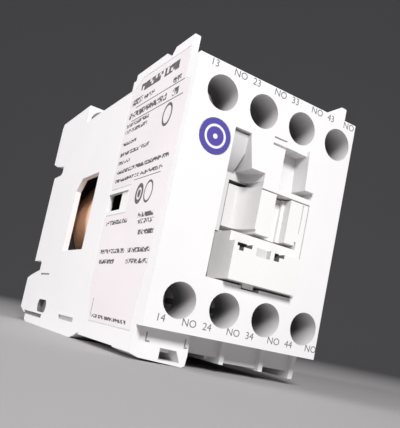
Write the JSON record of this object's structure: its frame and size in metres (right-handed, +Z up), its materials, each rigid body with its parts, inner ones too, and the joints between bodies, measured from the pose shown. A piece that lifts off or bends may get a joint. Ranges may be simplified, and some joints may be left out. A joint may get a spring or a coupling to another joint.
{
  "type": "din rail contactor",
  "caption": "Modular contactor with screw terminals above and below a recessed coupling yoke, deep magnet housing, and a spring latch for a top-hat rail.",
  "frame": {"origin": "middle of the flat face that seats on the rail's flanges", "axes": "+Y from the front face towards the rail (the depth), +X across the poles to the viewer's right, +Z up"},
  "size_m": [0.045, 0.1065, 0.081],
  "materials": {
    "housing_white": "moulded, fine satin",
    "carrier_cream": "moulded, satin",
    "bobbin_black": "moulded, glass filled",
    "label_print": "printed film, satin",
    "badge_blue": "printed, satin gloss",
    "contact_brass": "stamped",
    "screw_steel": "zinc plated",
    "clamp_steel": "stamped, plated",
    "spring_steel": "drawn wire",
    "magnet_iron": "ground iron, zinc plated",
    "coil_copper": "film tape over a copper winding",
    "pad_rubber": "moulded"
  },
  "bodies": {
    "housing": {"front_housing": "housing_white", "base_housing": "housing_white", "rating_label": "label_print", "front_badge": "badge_blue", "fixed_core": "magnet_iron", "magnet_yoke": "magnet_iron", "coil_bobbin": "bobbin_black", "coil_winding": "coil_copper", "return_spring": "spring_steel", "buffer_pad": "pad_rubber", "latch_spring": "spring_steel", "fixed_contact_top_1": "contact_brass", "fixed_contact_bottom_1": "contact_brass", "fixed_contact_top_2": "contact_brass", "fixed_contact_bottom_2": "contact_brass", "fixed_contact_top_3": "contact_brass", "fixed_contact_bottom_3": "contact_brass", "fixed_contact_top_4": "contact_brass", "fixed_contact_bottom_4": "contact_brass", "coil_strip_a1": "contact_brass", "coil_strip_a2": "contact_brass"},
    "carrier": {"contact_carrier": "carrier_cream", "armature": "magnet_iron", "armature_pin": "screw_steel", "contact_spring_1": "spring_steel", "contact_spring_2": "spring_steel", "contact_spring_3": "spring_steel", "contact_spring_4": "spring_steel"},
    "rail_latch": {"din_latch": "housing_white"},
    "moving_contact_1": {"moving_contact_1": "contact_brass"},
    "moving_contact_2": {"moving_contact_2": "contact_brass"},
    "moving_contact_3": {"moving_contact_3": "contact_brass"},
    "moving_contact_4": {"moving_contact_4": "contact_brass"},
    "terminal_top_1": {"terminal_screw_top_1": "screw_steel", "wire_clamp_top_1": "clamp_steel"},
    "terminal_top_2": {"terminal_screw_top_2": "screw_steel", "wire_clamp_top_2": "clamp_steel"},
    "terminal_top_3": {"terminal_screw_top_3": "screw_steel", "wire_clamp_top_3": "clamp_steel"},
    "terminal_top_4": {"terminal_screw_top_4": "screw_steel", "wire_clamp_top_4": "clamp_steel"},
    "terminal_bottom_1": {"terminal_screw_bottom_1": "screw_steel", "wire_clamp_bottom_1": "clamp_steel"},
    "terminal_bottom_2": {"terminal_screw_bottom_2": "screw_steel", "wire_clamp_bottom_2": "clamp_steel"},
    "terminal_bottom_3": {"terminal_screw_bottom_3": "screw_steel", "wire_clamp_bottom_3": "clamp_steel"},
    "terminal_bottom_4": {"terminal_screw_bottom_4": "screw_steel", "wire_clamp_bottom_4": "clamp_steel"},
    "coil_terminal_a1": {"coil_screw_a1": "screw_steel", "coil_clamp_a1": "clamp_steel"},
    "coil_terminal_a2": {"coil_screw_a2": "screw_steel", "coil_clamp_a2": "clamp_steel"}
  },
  "joints": [
    {"name": "carrier_slide", "type": "slide", "parent": "housing", "child": "carrier", "axis": [0, 1, 0], "range_m": [0, 0.0055], "stiffness_N_per_m": 600, "springref_m": -0.004, "deforming": ["return_spring"]},
    {"name": "contact_1_slide", "type": "slide", "parent": "carrier", "child": "moving_contact_1", "axis": [0, -1, 0], "range_m": [0, 0.0014], "stiffness_N_per_m": 1200, "springref_m": -0.001, "deforming": ["contact_spring_1"]},
    {"name": "contact_2_slide", "type": "slide", "parent": "carrier", "child": "moving_contact_2", "axis": [0, -1, 0], "range_m": [0, 0.0014], "stiffness_N_per_m": 1200, "springref_m": -0.001, "deforming": ["contact_spring_2"]},
    {"name": "contact_3_slide", "type": "slide", "parent": "carrier", "child": "moving_contact_3", "axis": [0, -1, 0], "range_m": [0, 0.0014], "stiffness_N_per_m": 1200, "springref_m": -0.001, "deforming": ["contact_spring_3"]},
    {"name": "contact_4_slide", "type": "slide", "parent": "carrier", "child": "moving_contact_4", "axis": [0, -1, 0], "range_m": [0, 0.0014], "stiffness_N_per_m": 1200, "springref_m": -0.001, "deforming": ["contact_spring_4"]},
    {"name": "rail_latch_slide", "type": "slide", "parent": "housing", "child": "rail_latch", "axis": [0, 0, -1], "range_m": [0, 0.0035], "stiffness_N_per_m": 900, "springref_m": -0.0015, "deforming": ["latch_spring"]},
    {"name": "terminal_top_1_screw", "type": "slide", "parent": "housing", "child": "terminal_top_1", "axis": [0, -1, 0], "range_m": [0, 0.0028]},
    {"name": "terminal_top_2_screw", "type": "slide", "parent": "housing", "child": "terminal_top_2", "axis": [0, -1, 0], "range_m": [0, 0.0028]},
    {"name": "terminal_top_3_screw", "type": "slide", "parent": "housing", "child": "terminal_top_3", "axis": [0, -1, 0], "range_m": [0, 0.0028]},
    {"name": "terminal_top_4_screw", "type": "slide", "parent": "housing", "child": "terminal_top_4", "axis": [0, -1, 0], "range_m": [0, 0.0028]},
    {"name": "terminal_bottom_1_screw", "type": "slide", "parent": "housing", "child": "terminal_bottom_1", "axis": [0, -1, 0], "range_m": [0, 0.0028]},
    {"name": "terminal_bottom_2_screw", "type": "slide", "parent": "housing", "child": "terminal_bottom_2", "axis": [0, -1, 0], "range_m": [0, 0.0028]},
    {"name": "terminal_bottom_3_screw", "type": "slide", "parent": "housing", "child": "terminal_bottom_3", "axis": [0, -1, 0], "range_m": [0, 0.0028]},
    {"name": "terminal_bottom_4_screw", "type": "slide", "parent": "housing", "child": "terminal_bottom_4", "axis": [0, -1, 0], "range_m": [0, 0.0028]},
    {"name": "coil_terminal_a1_screw", "type": "slide", "parent": "housing", "child": "coil_terminal_a1", "axis": [0, -1, 0], "range_m": [0, 0.0025]},
    {"name": "coil_terminal_a2_screw", "type": "slide", "parent": "housing", "child": "coil_terminal_a2", "axis": [0, -1, 0], "range_m": [0, 0.0025]}
  ]
}
